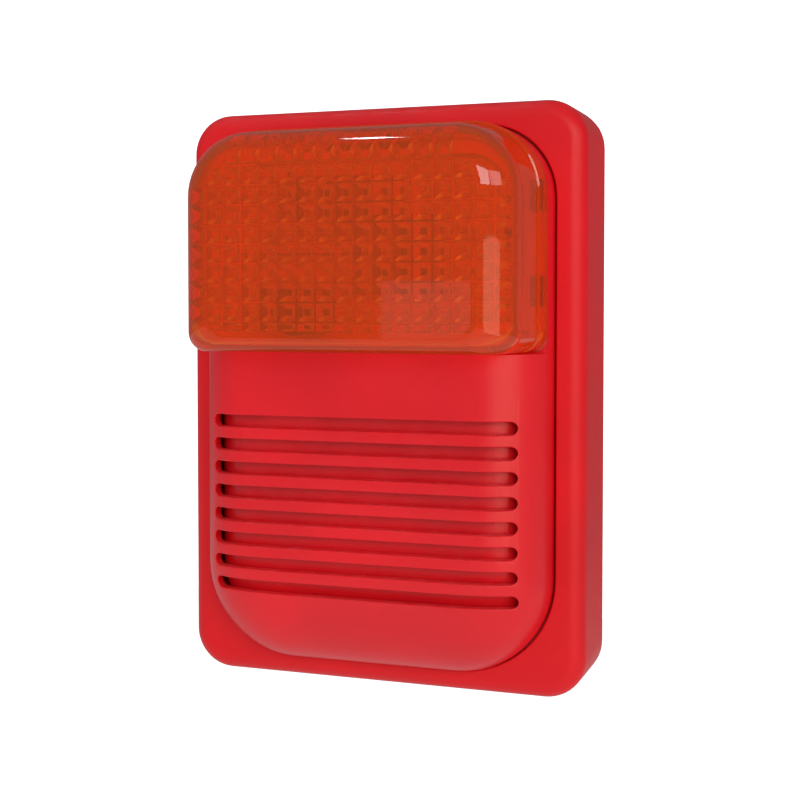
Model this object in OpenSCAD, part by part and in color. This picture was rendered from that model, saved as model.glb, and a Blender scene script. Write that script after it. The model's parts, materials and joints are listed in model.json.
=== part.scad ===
// Wall alarm siren with strobe.
// +Z is up, the front faces -Y, and the origin is the middle of the wall face.
// Pieces are drawn lying on their back: X to the right, Y up the wall, Z out from the wall.
// stand() then turns each one upright.

/* [Body] */
// Width of the housing
body_w = 90; // [86:1:110]
// Height of the housing
body_h = 125; // [120:1:155]
// Depth of the housing, from the wall to its flat front frame
body_d = 20; // [20:0.5:26]
// Corner radius of the housing
corner_r = 9; // [7:0.5:12]
// Radius of the housing's soft front edge
edge_r = 3.5; // [2.6:0.1:4.5]
// Wall of the housing
wall = 2.2; // [1.8:0.1:2.7]

/* [Front cover] */
// Flat frame left and right of the raised cover
frame_side = 6.8; // [5.6:0.1:8.2]
// Flat frame above the raised cover
frame_top = 5.7; // [4.8:0.1:6.8]
// Flat frame below the raised cover
frame_bottom = 5.5; // [4.6:0.1:6.6]
// How far the cover stands in front of the frame
cover_rise = 14; // [12:0.5:17]
// Radius of the cover's rolled edge
cover_edge_r = 13; // [11:0.5:14]
// Radius of the cover's upper corners
cover_top_r = 15; // [14:0.5:18]
// Radius of the cover's lower corners
cover_bottom_r = 20; // [18:0.5:24]
// Wall of the cover, and of its flange
cover_wall = 2; // [1.6:0.1:2.4]
// Gap round the cover in the housing's opening
cover_gap = 0.4; // [0.3:0.1:0.6]

/* [Louvres] */
// Number of louvre slots
slot_count = 8; // [6:1:8]
// Distance from slot to slot
slot_pitch = 5; // [4.4:0.1:5.2]
// Height of a slot
slot_h = 2.6; // [2:0.1:3]
// Length of a slot
slot_w = 66.6; // [55:0.1:68]
// Upper edge of the first slot below the lens
slot_drop = 13.7; // [13:0.1:17]

/* [Lens] */
// Height of the lens
lens_h = 46.5; // [43:0.1:48]
// How far the lens stands in front of the frame
lens_rise = 25; // [22:0.5:28]
// Wall of the lens
lens_wall = 1.8; // [1.4:0.1:2.2]
// Radius of the lens's front edge
lens_edge_r = 8; // [6:0.5:9]
// How far the lens narrows from its foot to its front edge
lens_draft = 1.4; // [0.5:0.1:2]
// Height of the ledge that the lens sits on, in front of the frame
ledge_rise = 5; // [4:0.1:6]
// Distance between the small pyramids inside the lens
prism_pitch = 3.9; // [3.4:0.1:4.6]
// Height of the small pyramids
prism_h = 1.6; // [1:0.1:2]

/* [Back plate] */
// Thickness of the back plate
plate_t = 2.5; // [2:0.1:3]
// Distance between the two wall screws, one above the other
wall_screw_pitch = 96; // [90:1:96]
// Distance between the two side screws, which fit a wall box
box_screw_pitch = 60; // [50:0.1:66]
// Radius of the wall screw slots
wall_screw_r = 2.3; // [1.8:0.1:2.6]
// Length of a wall screw slot, end to end
wall_slot_l = 9; // [6:0.5:9]
// Bore of the cable grommet
cable_r = 4; // [3:0.1:5]

/* [Siren capsule] */
// Radius of the capsule
capsule_r = 22.5; // [21:0.5:23]
// Radius of the brass disc
disc_r = 20.4; // [19:0.1:20.6]
// Thickness of the brass disc and of the ceramic on it
disc_t = 0.3; // [0.2:0.05:0.4]

/* [Hidden] */
$fn = 64;

red = [0.80, 0.06, 0.09];
amber = [1.0, 0.45, 0.05, 0.75];
black = [0.08, 0.08, 0.09];
steel = [0.72, 0.73, 0.75];
brass = [0.80, 0.62, 0.25];
board_green = [0.05, 0.35, 0.18];

e = 0.05;           // overshoot of a cut past the face it opens
gap = 0.3;          // room between pieces that move past each other
fit = 0.05;         // radial room of a pin in its hole
seat = 0.1;         // room between pieces that seat on each other

top_y = body_h / 2;
inner_w = body_w - 2 * wall;
inner_top_y = top_y - wall;
inner_front = body_d - wall;

cover_w = body_w - 2 * frame_side;
cover_top = top_y - frame_top;
cover_bottom = -top_y + frame_bottom;
cover_front = body_d + cover_rise;
cover_inside = cover_front - cover_wall;
flange_w = 2.2;
flange_front = inner_front - 0.2;
flange_back = flange_front - cover_wall;

lens_top = cover_top;
lens_bottom = lens_top - lens_h;
lens_front = body_d + lens_rise;
lens_w = cover_w - 0.4;
lens_r = cover_top_r - 0.2;
ledge = body_d + ledge_rise;
gasket_t = 0.8;
lens_foot = ledge + gasket_t;
step_y = lens_bottom - gap;

slot_top = lens_bottom - slot_drop;
siren_y = slot_top - slot_h / 2 - (slot_count - 1) * slot_pitch / 2;

relief_z = 4;
hinge_y = top_y - 6;
hinge_z = 6;
hinge_pin_r = 1.5;
rib_x = 26;
rib_t = 2.4;
lip_w = body_w - 24;
swing = 25;
swing_drop = 3;

board_z = 13;
board_t = 1.6;
board_front = board_z + board_t;
board_top = step_y - 3;
board_bottom = cover_bottom + 4;
board_hole_x = cover_w / 2 - 10.7;
board_hole_top = board_top - 3.5;
board_hole_bottom = board_bottom + 3.5;
board_w = 2 * board_hole_x + 7;

ear_x = body_w / 2 - 8.2;
ear_y = top_y - 7.5;
ear_z = 12;
ear_t = 2;
ear_arm = 7;
boss_r = 3;

screw_z = 6;
head_y = -top_y + 0.3;
head_t = 1.8;
washer_t = 0.5;
washer_y = head_y + head_t + washer_t;
pocket_y = washer_y + gap;
pocket_top = pocket_y + 2.7;
lug_y = pocket_top + 0.5;
lug_t = 3.4;

grommet_y = (wall_screw_pitch - wall_slot_l) / 2 - 11;
term_count = 4;
term_pitch = 5;
term_w = term_count * term_pitch + 0.4;
term_top = grommet_y - 11;
term_l = 10;
term_bottom = term_top - term_l;
term_mid = term_top - term_l / 2;
term_front = 14.5;
cage_travel = 2.2;

disc_z = 19.7;
capsule_back = 16;
capsule_front = 27.5;
siren_ear = capsule_r + 4.3;
siren_ear_z = 22;
siren_ear_t = 2;

tray_z = ledge - cover_wall - seat - 1.5;
tray_t = 1.5;
strobe_z = tray_z + tray_t + 1.1;
strobe_t = 1.6;
strobe_front = strobe_z + strobe_t;
strobe_y = (lens_top + lens_bottom) / 2;
strobe_w = 50;
strobe_h = 33;
tube_z = strobe_front + 7.4;
tube_y = strobe_y - 6.3;
tab_ys = [strobe_y - 11, strobe_y + 8];
tab_w = 6;
tab_x = cover_w / 2 - cover_wall - 2.3;
tab_t = 1.4;

// ---------- helpers ----------

// Turns a piece from lying on its back to standing against the wall.
module stand() rotate([90, 0, 0]) children();

// A box between two corners.
module block(low, high) translate(low) cube(high - low);

// A cylinder from one depth to another.
module post(x, y, z0, z1, r) translate([x, y, z0]) cylinder(h = z1 - z0, r = r);

// Rectangle with round corners, the upper and the lower ones apart.
module outline(w, y0, y1, rt, rb) {
    translate([-w / 2 + rb, y0]) square([w - 2 * rb, y1 - rt - y0]);
    translate([-w / 2, y0 + rb]) square([w, y1 - rt - y0 - rb]);
    translate([-w / 2 + rt, y1 - rt - e]) square([w - 2 * rt, rt + e]);
    for (s = [-1, 1]) {
        translate([s * (w / 2 - rb), y0 + rb]) circle(rb);
        translate([s * (w / 2 - rt), y1 - rt]) circle(rt);
    }
}

module slab(w, y0, y1, rt, rb, z0, z1)
    translate([0, 0, z0]) linear_extrude(z1 - z0) outline(w, y0, y1, rt, rb);

// Section of a soft edge: r from the corner's centre, d high, rounded by f, leaning in by lean.
module edge_section(r, d, f, lean) intersection() {
    square([r, d]);
    union() {
        polygon([[0, 0], [r, 0], [r - lean, d - f], [r - lean - f, d], [0, d]]);
        translate([r - lean - f, d - f]) circle(f);
    }
}

// One straight side with the soft edge, its length along Y.
module edge_side(length, r, d, f, lean)
    rotate([90, 0, 0]) linear_extrude(length, center = true) edge_section(r, d, f, lean);

module edge_corner(r, d, f, lean) rotate_extrude(angle = 90) edge_section(r, d, f, lean);

// Rounded box with a soft front edge. The lower corners' radius is at least the upper one's.
module pillow(w, y0, y1, d, rt, rb, f, lean = 0) {
    side = y1 - rt - y0 - rb;
    for (s = [0, 1]) mirror([s, 0, 0]) {
        translate([w / 2 - rt, y1 - rt, 0]) edge_corner(rt, d, f, lean);
        translate([w / 2 - rb, y0 + rb, 0]) rotate([0, 0, -90]) edge_corner(rb, d, f, lean);
        translate([w / 2 - rt, y0 + rb + side / 2, 0]) edge_side(side, rt, d, f, lean);
    }
    translate([0, y1 - rt, 0]) rotate([0, 0, 90]) edge_side(w - 2 * rt, rt, d, f, lean);
    translate([0, y0 + rb, 0]) rotate([0, 0, -90]) edge_side(w - 2 * rb, rb, d, f, lean);
    translate([-w / 2 + rt, y0 + rb, 0]) cube([w - 2 * rt, side, d]);
}

// Round-ended slot, its length along X.
module slot_cut(length, h, z0, z1) translate([0, 0, z0]) linear_extrude(z1 - z0) {
    square([length - h, h], center = true);
    for (s = [-1, 1]) translate([s * (length - h) / 2, 0]) circle(h / 2);
}

// Pan-head screw along Z: the head below, the shank above z.
module pan_screw(x, y, z, head_r, head_h, shank_r, shank_l) translate([x, y, z]) {
    difference() {
        translate([0, 0, -head_h]) cylinder(h = head_h, r = head_r);
        for (a = [0, 90]) rotate([0, 0, a])
            translate([-head_r * 0.6, -0.3, -head_h - e]) cube([head_r * 1.2, 0.6, 0.8]);
    }
    translate([0, 0, -e]) cylinder(h = shank_l + e, r = shank_r);
}

// Thin lead through a few points, round at its bends.
module lead(points, r) for (i = [0 : len(points) - 2]) {
    a = points[i];
    b = points[i + 1];
    v = b - a;
    l = norm(v);
    translate(a) rotate([0, acos(v[2] / l), atan2(v[1], v[0])]) cylinder(h = l, r = r, $fn = 24);
    if (i > 0) translate(a) sphere(r = r * 1.08, $fn = 24);
}

// ---------- back plate and what it carries ----------

module ear_pivot(s) {
    inner = rib_x - gap - 2.3;
    translate([s * (inner + 1.15), hinge_y, hinge_z]) rotate([0, 90, 0])
        cylinder(h = 2.3, r = 2.8, center = true);
    block([s > 0 ? inner : -inner - 2.3, hinge_y - 2.8, plate_t - 1.5],
        [s > 0 ? inner + 2.3 : -inner, hinge_y + 1, hinge_z]);
    translate([s * (rib_x - gap - e + rib_t / 2), hinge_y, hinge_z]) rotate([0, 90, 0])
        cylinder(h = rib_t + e, r = hinge_pin_r, center = true);
}

module back_plate_shape() {
    w = inner_w - 2 * gap;
    r = corner_r - wall - gap;
    lip_t = 1.3;
    difference() {
        union() {
            // the upper corners sit lower, where the housing's corners swing past
            slab(w, -inner_top_y + gap, inner_top_y - gap - swing_drop, r, r, 0, plate_t);
            block([-lip_w / 2 + gap, 0, 0], [lip_w / 2 - gap, inner_top_y - gap, plate_t]);
            for (s = [-1, 1]) ear_pivot(s);
            block([-5, lug_y, 0], [5, lug_y + lug_t, 9.5]);
            // raised seat that locates the terminal block
            difference() {
                block([-term_w / 2 - 1.6, term_bottom - 1.6, plate_t - e],
                    [term_w / 2 + 1.6, term_top + 1.6, plate_t + 1.5]);
                block([-term_w / 2 - seat, term_bottom - seat, plate_t - 2 * e],
                    [term_w / 2 + seat, term_top + seat, plate_t + 1.6]);
            }
        }
        // thin band under the hinge, where the housing's top edge swings past
        block([-lip_w / 2, hinge_y + 1.1, lip_t], [lip_w / 2, top_y, plate_t + e]);
        // room for the housing's screw pocket
        block([-6 - gap, -top_y, -e], [6 + gap, lug_y - e, plate_t + e]);
        post(0, grommet_y, -e, plate_t + e, 7.5);
        post(0, grommet_y, -e, 1.15, 9.3);
        for (s = [-1, 1]) {
            translate([0, s * wall_screw_pitch / 2, 0]) rotate([0, 0, 90])
                slot_cut(wall_slot_l, 2 * wall_screw_r, -e, plate_t + e);
            translate([s * box_screw_pitch / 2, 0, 0])
                slot_cut(wall_slot_l, 2 * wall_screw_r, -e, plate_t + e);
        }
        translate([0, lug_y - e, screw_z]) rotate([-90, 0, 0]) cylinder(h = lug_t + 2 * e, r = 1.5);
    }
    // lip that closes the housing's top edge, hollowed where the housing swings
    difference() {
        block([-lip_w / 2 + gap, inner_top_y - gap - e, 0], [lip_w / 2 - gap, top_y - 0.2, 3.2]);
        translate([0, hinge_y, hinge_z]) rotate([0, 90, 0]) cylinder(h = lip_w, r = 6.6, center = true);
    }
    block([-lip_w / 2 + gap, inner_top_y - gap - e, 0], [lip_w / 2 - gap, top_y - 0.2, lip_t]);
}

module back_plate() color(red * 0.85) stand() back_plate_shape();

module cable_grommet() color(black) stand() translate([0, grommet_y, 0]) difference() {
    union() {
        post(0, 0, 0.05, 1.1, 9);
        post(0, 0, 0.05, plate_t + 1.3, 7.4);
        post(0, 0, plate_t + 0.05, plate_t + 1.3, 9);
    }
    post(0, 0, -e, plate_t + 2, cable_r);
}

function term_x(i) = (i - (term_count + 1) / 2) * term_pitch;

module terminal_body() color([0.10, 0.42, 0.20]) stand() difference() {
    block([-term_w / 2, term_bottom, plate_t + 0.02], [term_w / 2, term_top, term_front]);
    for (i = [1 : term_count]) {
        x = term_x(i);
        block([x - 1.95, term_mid - 3, 3.5], [x + 1.95, term_mid + 3, 11.4]);
        block([x - 1.5, term_mid + 2.9, 4.6], [x + 1.5, term_top + e, 7.6]);
        block([x - 1.2, term_bottom - e, 6.9], [x + 1.2, term_mid - 2.9, 8.1]);
        post(x, term_mid, 11.3, 12.1, 1.3);
        post(x, term_mid, 12, term_front + e, 1.95);
    }
}

// Fixed tongue of each terminal, with the spring that reaches the main board's pad.
module terminal_contacts() color(brass) stand() for (i = [1 : term_count]) {
    x = term_x(i);
    tip_y = min(board_top, term_bottom - 1) - 2.4;
    block([x - 1, tip_y - 0.3, 7.2], [x + 1, term_mid + 2.5, 7.8]);
    block([x - 1, tip_y - 0.3, 7.2], [x + 1, tip_y + 0.3, board_z - 1.1]);
    translate([x, tip_y, board_z - 1.2]) rotate([0, 90, 0]) cylinder(h = 2, r = 0.8, center = true);
}

module clamp_cage(i) color(steel) stand() difference() {
    x = term_x(i);
    block([x - 1.7, term_mid - 2.6, 3.8], [x + 1.7, term_mid + 2.6, 9]);
    block([x - 1.3, term_mid - 2.6 - e, 4.8], [x + 1.3, term_mid + 2.6 + e, 8]);
    post(x, term_mid, 7.9, 9.1, 1.2 + fit);
}

module clamp_screw(i) color(steel) stand() difference() {
    x = term_x(i);
    union() {
        post(x, term_mid, 8.05, 12.3, 1.2);
        post(x, term_mid, 12.2, 13.9, 1.8);
    }
    block([x - 2, term_mid - 0.25, 13.2], [x + 2, term_mid + 0.25, 14]);
}

module case_washer() color(steel) stand()
    translate([0, washer_y - washer_t, screw_z]) rotate([-90, 0, 0]) difference() {
        cylinder(h = washer_t, r = 3.3);
        translate([0, 0, -e]) cylinder(h = washer_t + 2 * e, r = 1.45 + fit);
    }

module case_screw() color(steel) stand()
    translate([0, head_y, screw_z]) rotate([-90, 0, 0]) difference() {
        union() {
            cylinder(h = head_t - 0.02, r = 2.75);
            cylinder(h = lug_y + lug_t - head_y - 0.4, r = 1.45);
        }
        for (a = [0, 90]) rotate([0, 0, a]) translate([-1.7, -0.35, -e]) cube([3.4, 0.7, 1.1]);
    }

// ---------- housing, cover, lens ----------

module housing_pocket() {
    slide_r = 3.6;
    translate([0, -top_y - e, 0]) {
        block([-slide_r, 0, -1], [slide_r, pocket_y + top_y + e, screw_z]);
        translate([0, 0, screw_z]) rotate([-90, 0, 0]) cylinder(h = pocket_y + top_y + e, r = slide_r);
        block([-1.75, 0, -1], [1.75, pocket_top + top_y + 1, screw_z]);
        translate([0, 0, screw_z]) rotate([-90, 0, 0]) cylinder(h = pocket_top + top_y + 1, r = 1.75);
    }
}

module hinge_rib(s) {
    translate([s * (rib_x + rib_t / 2), hinge_y, hinge_z]) rotate([0, 90, 0])
        cylinder(h = rib_t, r = 3, center = true);
    block([s > 0 ? rib_x : -rib_x - rib_t, hinge_y - 3, hinge_z],
        [s > 0 ? rib_x + rib_t : -rib_x, inner_top_y + e, flange_back - gap]);
}

// Wedge off the housing's upper back edge, which would meet the wall as the housing swings open.
module swing_relief() {
    z0 = hinge_z - (hinge_z - 0.2) / cos(swing);
    translate([-body_w / 2 - 1, hinge_y, 0]) rotate([90, 0, 90]) linear_extrude(body_w + 2)
        polygon([[0, -1], [9, -1], [9, z0 + 9 * tan(swing)], [0, z0]]);
}

module housing() color(red) stand() difference() {
    union() {
        difference() {
            pillow(body_w, -top_y, top_y, body_d, corner_r, corner_r, edge_r);
            translate([0, 0, -1]) pillow(inner_w, -inner_top_y, inner_top_y, inner_front + 1,
                corner_r - wall, corner_r - wall, edge_r - wall + 0.2);
        }
        for (s = [-1, 1]) hinge_rib(s);
        for (s = [-1, 1], t = [-1, 1]) post(s * ear_x, t * ear_y, ear_z + ear_t, inner_front + e, boss_r);
        block([-6, -top_y + wall - e, 0], [6, pocket_top, 12]);
    }
    slab(cover_w + 2 * cover_gap, cover_bottom - cover_gap, cover_top + cover_gap,
        cover_top_r + cover_gap, cover_bottom_r + cover_gap, inner_front - 1, body_d + 1);
    block([-lip_w / 2, inner_top_y - e, -1], [lip_w / 2, top_y + 1, relief_z]);
    swing_relief();
    for (s = [-1, 1], t = [-1, 1]) post(s * ear_x, t * ear_y, ear_z, body_d - 1, 1.1);
    for (s = [-1, 1]) translate([s * (rib_x + rib_t / 2), hinge_y, hinge_z]) rotate([0, 90, 0])
        cylinder(h = rib_t + 1, r = hinge_pin_r + fit, center = true);
    housing_pocket();
}

// Solid form of the cover, grown or shrunk by inset, from its flange to its front.
module cover_form(inset) pillow(cover_w - 2 * inset, cover_bottom + inset, cover_top - inset,
    cover_front - inset - flange_back, cover_top_r - inset, cover_bottom_r - inset, cover_edge_r - inset);

function slot_y(i) = slot_top - slot_h / 2 - i * slot_pitch;

module cover_ear(s, t) {
    post(s * ear_x, t * ear_y, ear_z, ear_z + ear_t, boss_r);
    translate([s * ear_x, t * ear_y, ear_z]) rotate([0, 0, t * s > 0 ? 45 : -45]) {
        translate([s > 0 ? -ear_arm : 0, -2.5, 0]) cube([ear_arm, 5, ear_t]);
        translate([s > 0 ? -ear_arm : boss_r + gap, -2.5, 0])
            cube([ear_arm - boss_r - gap, 5, flange_back - ear_z + e]);
    }
}

module lens_tab_slots(z0, z1) for (s = [-1, 1], y = tab_ys)
    translate([s * (tab_x + tab_t / 2), y, (z0 + z1) / 2])
        cube([tab_t + 0.4, tab_w + 0.4, z1 - z0], center = true);

module front_cover() color(red * 1.05) stand() difference() {
    union() {
        difference() {
            union() {
                translate([0, 0, flange_back]) cover_form(0);
                slab(cover_w + 2 * flange_w, cover_bottom - flange_w, cover_top + flange_w,
                    cover_top_r + flange_w, cover_bottom_r + flange_w, flange_back, flange_front);
            }
            // seat of the lens
            block([-body_w, step_y, ledge], [body_w, top_y, lens_front]);
            // hollow behind the louvres, and the lower hollow behind the lens
            difference() {
                translate([0, 0, flange_back - e]) cover_form(cover_wall);
                block([-body_w, step_y - cover_wall, ledge - cover_wall], [body_w, top_y, lens_front]);
            }
        }
        intersection() {
            translate([0, 0, flange_back - 4]) union() {
                translate([0, 0, 4]) cover_form(0.5);
                slab(cover_w - 2 * cover_wall, cover_bottom + cover_wall, cover_top - cover_wall,
                    cover_top_r - cover_wall, cover_bottom_r - cover_wall, 0, 4.1);
            }
            union() {
                for (s = [-1, 1], y = [board_hole_top, board_hole_bottom])
                    post(s * board_hole_x, y, board_front + 0.02, cover_front, boss_r);
                for (t = [-1, 1])
                    post(0, siren_y + t * siren_ear, siren_ear_z + siren_ear_t + 0.02, cover_front, boss_r);
            }
        }
        for (s = [-1, 1], t = [-1, 1]) cover_ear(s, t);
    }
    for (i = [0 : slot_count - 1]) translate([0, slot_y(i), 0])
        slot_cut(slot_w, slot_h, body_d, cover_front + 1);
    // window for the strobe
    slab(lens_w - 2 * lens_wall - 8.6, lens_bottom + 5, lens_top - 5.6, 10, 10,
        ledge - cover_wall - 1, ledge + 1);
    lens_tab_slots(ledge - cover_wall - 1, ledge + 1);
    // clearance round the housing's bosses, and the screw holes
    for (s = [-1, 1], t = [-1, 1]) {
        post(s * ear_x, t * ear_y, ear_z + ear_t, flange_front + 1, boss_r + gap);
        post(s * ear_x, t * ear_y, ear_z - e, ear_z + ear_t + e, 1.3);
    }
    for (s = [-1, 1], y = [board_hole_top, board_hole_bottom])
        post(s * board_hole_x, y, board_front - e, board_front + 9, 1.1);
    for (t = [-1, 1])
        post(0, siren_y + t * siren_ear, siren_ear_z, siren_ear_z + siren_ear_t + 5, 1.1);
}

module cover_screws() color(steel) stand() for (s = [-1, 1], t = [-1, 1])
    pan_screw(s * ear_x, t * ear_y, ear_z - 0.02, 2.3, 1.5, 1.05, 6);

// Curved grid behind the louvres: a bar behind each slot, a narrow gap behind each slat.
module sound_baffle() color(red * 0.8) stand() {
    air = 1;
    thick = 1.5;
    bar_top = slot_y(0) + 2.4;
    bar_bottom = slot_y(slot_count - 1) - 2.4;
    rail_x = cover_w / 2 - cover_wall - cover_edge_r;
    difference() {
        translate([0, 0, flange_back]) cover_form(cover_wall + air);
        translate([0, 0, flange_back - e]) cover_form(cover_wall + air + thick);
        block([-body_w, bar_top, 0], [body_w, top_y, lens_front]);
        block([-body_w, -top_y, 0], [body_w, bar_bottom, lens_front]);
        block([-body_w, -top_y, 0], [body_w, top_y, cover_front - 7.5]);
        for (i = [0 : slot_count - 2]) translate([0, slot_y(i) - slot_pitch / 2, 0])
            slot_cut(slot_w - 5, 1.6, body_d, cover_front);
    }
    for (y = [bar_top - 1.2, bar_bottom])
        block([-rail_x, y, cover_inside - air - thick], [rail_x, y + 1.2, cover_inside - 0.05]);
}

// Rounded lens cap, cut off flat at the bottom; inset shrinks it for the inside.
module lens_form(inset, foot) difference() {
    translate([0, 0, foot]) pillow(lens_w - 2 * inset, lens_bottom - 30, lens_top - inset,
        lens_front - inset - foot, lens_r - inset, lens_r - inset, lens_edge_r - inset, lens_draft);
    block([-body_w, -top_y, 0], [body_w, lens_bottom + inset, lens_front + 1]);
}

// Field of small square pyramids with flat tops, left standing between crossed V grooves.
module lens_prisms() {
    field = floor((lens_w - 2 * lens_edge_r - 2 * lens_draft) / prism_pitch);
    rows = floor((lens_h - lens_edge_r - lens_wall - 1) / prism_pitch);
    back = lens_front - lens_wall - prism_h - 0.1;
    w = field * prism_pitch;
    h = rows * prism_pitch;
    y0 = lens_bottom + lens_wall - e;
    mouth = prism_pitch * 0.33;
    difference() {
        block([-w / 2, y0, back], [w / 2, y0 + h, lens_front - lens_wall + e]);
        for (i = [0 : field]) translate([-w / 2 + i * prism_pitch, y0 - e, back])
            rotate([-90, 0, 0]) linear_extrude(h + 2 * e)
                polygon([[-mouth, e], [mouth, e], [mouth, 0], [0, -prism_h], [-mouth, 0]]);
        for (j = [0 : rows]) translate([-w / 2 - e, y0 + j * prism_pitch, back])
            rotate([90, 0, 90]) linear_extrude(w + 2 * e)
                polygon([[-mouth, -e], [mouth, -e], [mouth, 0], [0, prism_h], [-mouth, 0]]);
    }
}

module lens() color(amber) stand() {
    difference() {
        lens_form(0, lens_foot);
        lens_form(lens_wall, lens_foot - e);
    }
    lens_prisms();
    for (s = [-1, 1], y = tab_ys) {
        x = tab_x + tab_t / 2;
        tip = tray_z - 1.3;
        translate([s * x, y, (tip + lens_foot + 2) / 2])
            cube([tab_t, tab_w, lens_foot + 2 - tip], center = true);
        translate([s * (x + 0.35), y, tip + 0.5]) cube([tab_t, tab_w, 1], center = true);
        translate([s * (x + 0.9), y, lens_foot + 1]) cube([1.6, tab_w, 2], center = true);
    }
}

module lens_gasket() color([0.15, 0.15, 0.15]) stand() difference() {
    slab(lens_w - 0.4, lens_bottom + 0.2, lens_top - 0.2, lens_r - 0.2, 2,
        ledge + 0.02, lens_foot - 0.02);
    slab(lens_w - 3.4, lens_bottom + 1.7, lens_top - 1.7, lens_r - 1.7, 1, ledge - e, lens_foot + e);
}

// ---------- strobe ----------

module strobe_hole_posts(z0, z1, r) for (s = [-1, 1])
    post(s * (strobe_w / 2 - 3), strobe_y, z0, z1, r);

module strobe_tray() color([0.9, 0.9, 0.88]) stand() difference() {
    union() {
        slab(lens_w - 2 * lens_wall - 3.8, lens_bottom + 2.9, lens_top - 3.3, 12, 8, tray_z, tray_z + tray_t);
        strobe_hole_posts(tray_z, strobe_z - 0.02, 2.4);
    }
    strobe_hole_posts(tray_z - e, strobe_z + 1, 1.0);
    lens_tab_slots(tray_z - e, tray_z + tray_t + e);
    for (x = [-22, -19]) post(x, lens_bottom + 6, tray_z - e, strobe_z, 1);
}

module strobe_board() color(board_green) stand() difference() {
    block([-strobe_w / 2, strobe_y - strobe_h / 2, strobe_z],
        [strobe_w / 2, strobe_y + strobe_h / 2, strobe_front]);
    strobe_hole_posts(strobe_z - e, strobe_front + e, 1.3);
}

module strobe_screws() color(steel) stand() for (s = [-1, 1])
    translate([s * (strobe_w / 2 - 3), strobe_y, strobe_front + 0.02]) rotate([180, 0, 0])
        pan_screw(0, 0, 0, 2, 1.3, 0.95, 3.2);

module flash_tube() color([0.85, 0.9, 0.95, 0.6]) stand()
    translate([-20, tube_y, tube_z]) rotate([0, 90, 0]) cylinder(h = 25, r = 2.1);

module tube_electrodes() color(steel) stand() for (x = [-20, 5]) {
    out = x < 0 ? -1 : 1;
    translate([x + out * 0.77, tube_y, tube_z]) rotate([0, 90, 0])
        cylinder(h = 1.5, r = 2.1, center = true);
    lead([[x + out, tube_y, tube_z], [x + out * 2.2, tube_y, tube_z],
        [x + out * 2.2, tube_y, strobe_front + 0.02]], 0.45);
}

module tube_reflector() color([0.85, 0.85, 0.87]) stand() {
    difference() {
        translate([-19.5, tube_y, tube_z]) rotate([0, 90, 0]) cylinder(h = 24, r = 3.6);
        translate([-20, tube_y, tube_z]) rotate([0, 90, 0]) cylinder(h = 26, r = 3.2);
        block([-21, tube_y - 4, tube_z], [6, tube_y + 4, tube_z + 4]);
    }
    for (x = [-16, 1.5]) post(x, tube_y, strobe_front + 0.02, tube_z - 3.3, 1.2);
}

module trigger_transformer() color([0.16, 0.11, 0.08]) stand() {
    x = 1;
    y = strobe_y + 3.5;
    block([x - 7, y, strobe_front + 0.02], [x + 7, y + 9, strobe_front + 2]);
    block([x - 7, y, strobe_front + 7], [x + 7, y + 9, strobe_front + 8.8]);
    block([x - 7, y, strobe_front + 1], [x - 5, y + 9, strobe_front + 8]);
    block([x + 5, y, strobe_front + 1], [x + 7, y + 9, strobe_front + 8]);
    translate([x, y + 4.5, strobe_front + 4.4]) rotate([0, 90, 0]) cylinder(h = 10.2, r = 4, center = true);
}

module flash_capacitor() color(black) stand() {
    x = -11.5;
    y = strobe_y - 15.2;
    post(x, y, strobe_front + 0.02, strobe_front + 9, 4.8);
    post(x, y, strobe_front + 8.9, strobe_front + 9.6, 4.5);
    post(x, y, strobe_front + 9.5, strobe_front + 12.5, 4.8);
}

module film_capacitor() color([0.05, 0.35, 0.15]) stand()
    translate([13.2, strobe_y - 3.5, strobe_front + 4.4]) rotate([90, 0, 0]) translate([0, 0, -8])
        linear_extrude(16) {
            square([8, 4.8], center = true);
            translate([0, -0.8]) square([5, 7.2], center = true);
            for (s = [-1, 1], t = [-1, 1]) translate([s * 2.5, t * 2.4]) circle(1.5);
        }

module strobe_resistors() color([0.75, 0.62, 0.42]) stand() for (i = [0 : 2]) {
    y = strobe_y + 13.4 - i * 3.2;
    z = strobe_front + 1.3;
    translate([-17, y, z]) rotate([0, 90, 0]) cylinder(h = 5.2, r = 1.1, center = true);
    for (s = [-1, 1]) {
        translate([-17 + s * 2.2, y, z]) rotate([0, 90, 0]) cylinder(h = 1.4, r = 1.2, center = true);
        lead([[-17 + s * 2.7, y, z], [-17 + s * 4, y, z], [-17 + s * 4, y, strobe_front + 0.02]], 0.3);
    }
}

// Two leads from the strobe board, through the tray, to the main board.
module strobe_leads() color([0.8, 0.1, 0.1]) stand() for (x = [-22, -19]) {
    y = lens_bottom + 6;
    low = 18.5;
    lead([[x, y, strobe_z - 0.02], [x, y, low], [x + 5, board_top - 1.6, low],
        [x + 5, board_top - 1.6, board_front + 0.02]], 0.6);
}

// ---------- siren capsule ----------

module siren_chamber() color(black) stand() translate([0, siren_y, 0]) difference() {
    union() {
        post(0, 0, capsule_back, capsule_front, capsule_r);
        for (t = [-1, 1]) {
            post(0, t * siren_ear, siren_ear_z, siren_ear_z + siren_ear_t, boss_r + 0.2);
            block([-3.2, t > 0 ? capsule_r - 3 : -siren_ear, siren_ear_z],
                [3.2, t > 0 ? siren_ear : -capsule_r + 3, siren_ear_z + siren_ear_t]);
        }
    }
    post(0, 0, capsule_back - e, disc_z + disc_t + 0.6, disc_r + 0.2);
    post(0, 0, disc_z, capsule_front - 1.5, disc_r - 2);
    post(0, 0, capsule_front - 2, capsule_front + e, 5.5);
    for (a = [0 : 45 : 315]) rotate([0, 0, a]) post(12.5, 0, capsule_front - 2, capsule_front + e, 2.6);
    for (t = [-1, 1]) post(0, t * siren_ear, siren_ear_z - e, siren_ear_z + siren_ear_t + e, 1.3);
}

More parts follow.
